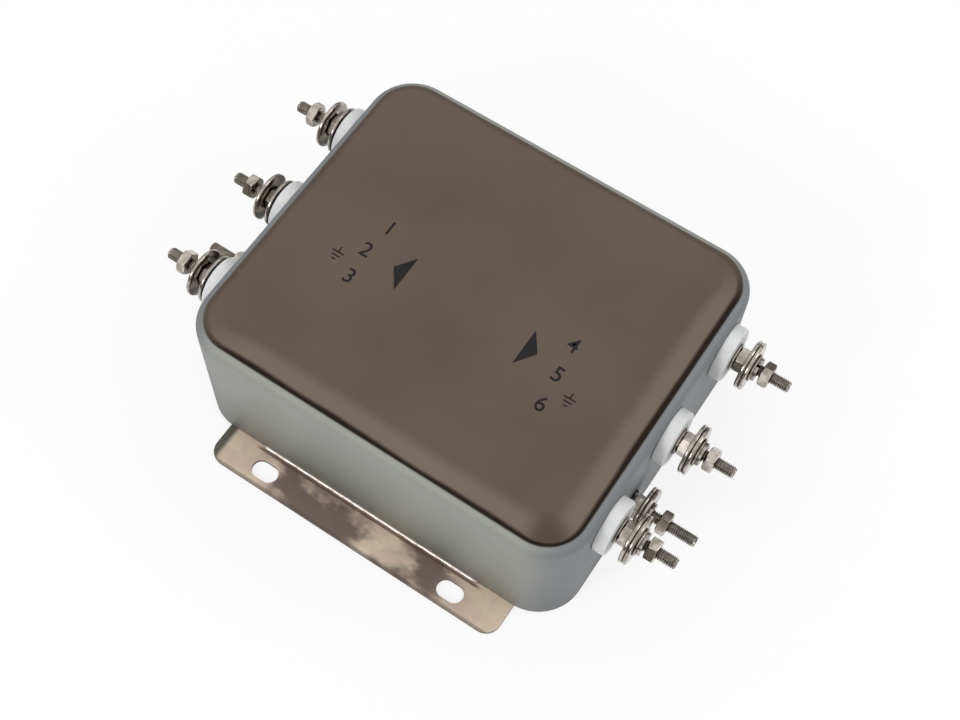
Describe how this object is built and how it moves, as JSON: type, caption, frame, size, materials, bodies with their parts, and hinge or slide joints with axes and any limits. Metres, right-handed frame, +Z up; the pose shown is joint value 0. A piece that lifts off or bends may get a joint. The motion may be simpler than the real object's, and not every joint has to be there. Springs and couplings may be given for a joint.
{
  "type": "three-phase line filter",
  "caption": "Chassis-mounted three-phase line filter in a drawn steel can, with insulated stud terminals on both ends, earth studs and slotted mounting flanges.",
  "frame": {"origin": "on the mounting plane, at the centre of the four mounting slots", "axes": "+X from the line terminals to the load terminals, +Z up from the mounting plane, +Y towards terminal 1"},
  "size_m": [0.181, 0.141, 0.0515],
  "materials": {
    "case_steel": "tin-plated, semi-bright",
    "plate_steel": "tin-plated, dull and mottled",
    "solder": "dull solder",
    "white_insulation": "satin, slightly translucent",
    "nickel_studs": "nickel plated",
    "nickel_washers": "nickel plated",
    "nickel_nuts": "nickel plated",
    "spring_steel": "zinc plated",
    "tinned_brass": "tinned",
    "pressboard": "matt",
    "brass": "plain",
    "board": "solder mask",
    "zinc_screws": "zinc plated",
    "core_coating": "epoxy coated",
    "enamelled_copper": "enamelled",
    "nylon": "moulded",
    "film_capacitor": "moulded",
    "disc_capacitor": "dipped",
    "resistor_body": "lacquered",
    "black_pvc": "insulation",
    "green_pvc": "insulation"
  },
  "bodies": {
    "root": {"case": "case_steel", "base_plate": "plate_steel", "solder_seams": "solder", "line_insulator_1": "white_insulation", "line_insulator_2": "white_insulation", "line_insulator_3": "white_insulation", "load_insulator_1": "white_insulation", "load_insulator_2": "white_insulation", "load_insulator_3": "white_insulation", "line_stud_1": "nickel_studs", "line_stud_2": "nickel_studs", "line_stud_3": "nickel_studs", "load_stud_1": "nickel_studs", "load_stud_2": "nickel_studs", "load_stud_3": "nickel_studs", "line_ground_stud": "nickel_studs", "load_ground_stud": "nickel_studs", "line_seat_washers": "nickel_washers", "line_lock_nuts": "nickel_nuts", "line_large_washers": "nickel_washers", "line_flat_washers": "nickel_washers", "line_spring_washers": "spring_steel", "line_outer_nuts": "nickel_nuts", "load_seat_washers": "nickel_washers", "load_lock_nuts": "nickel_nuts", "load_large_washers": "nickel_washers", "load_flat_washers": "nickel_washers", "load_spring_washers": "spring_steel", "load_outer_nuts": "nickel_nuts", "ground_tooth_washers": "spring_steel", "ground_lock_nuts": "nickel_nuts", "ground_large_washers": "nickel_washers", "ground_spring_washers": "spring_steel", "ground_outer_nuts": "nickel_nuts", "line_inner_collars": "white_insulation", "load_inner_collars": "white_insulation", "line_solder_tags": "tinned_brass", "load_solder_tags": "tinned_brass", "ground_tags": "tinned_brass", "insulating_sheet": "pressboard", "board_spacers": "brass", "circuit_board": "board", "board_screws": "zinc_screws", "choke_core": "core_coating", "choke_winding_1": "enamelled_copper", "choke_winding_2": "enamelled_copper", "choke_winding_3": "enamelled_copper", "choke_spider": "nylon", "line_x_capacitor_1": "film_capacitor", "line_x_capacitor_2": "film_capacitor", "line_x_capacitor_3": "film_capacitor", "load_x_capacitor_1": "film_capacitor", "load_x_capacitor_2": "film_capacitor", "load_x_capacitor_3": "film_capacitor", "y_capacitors": "disc_capacitor", "discharge_resistors": "resistor_body", "line_leads": "black_pvc", "load_leads": "black_pvc", "ground_leads": "green_pvc"}
  },
  "joints": []
}
